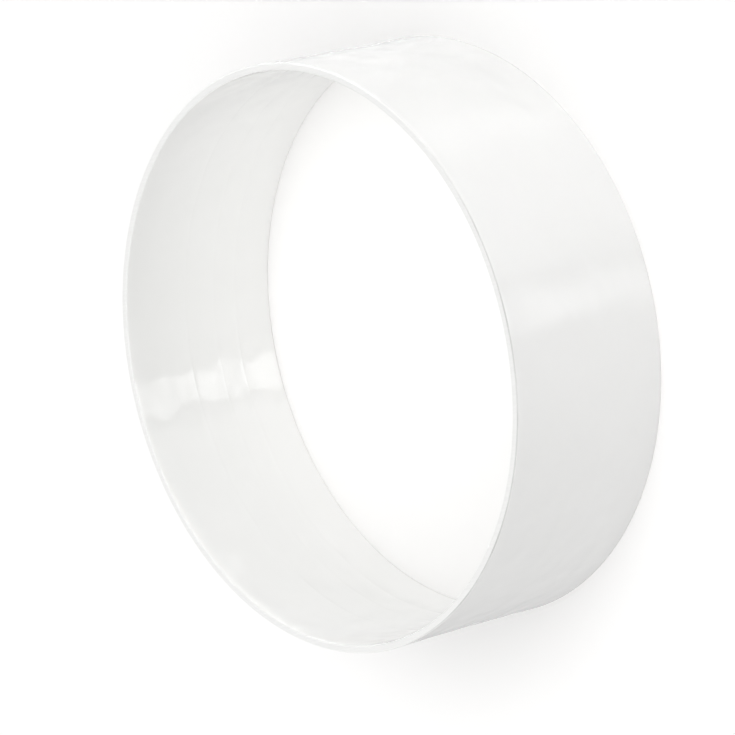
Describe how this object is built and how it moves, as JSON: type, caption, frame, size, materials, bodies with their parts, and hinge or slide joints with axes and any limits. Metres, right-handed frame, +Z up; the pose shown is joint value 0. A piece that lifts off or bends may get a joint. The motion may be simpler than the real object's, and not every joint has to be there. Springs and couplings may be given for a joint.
{
  "type": "rigid duct pipe",
  "caption": "Short straight thin-walled round duct pipe in gloss white plastic, open at both ends, for joining or extending ventilation duct runs.",
  "frame": {"origin": "centre of the lower cut end, on the pipe's axis", "axes": "+Z up the pipe's axis from the lower cut end to the upper one; +X and +Y lie across the pipe, which is round"},
  "size_m": [0.154, 0.154, 0.05],
  "materials": {
    "white_plastic": "smooth glossy white extruded plastic"
  },
  "bodies": {
    "root": {"duct_pipe": "white_plastic"}
  },
  "joints": []
}
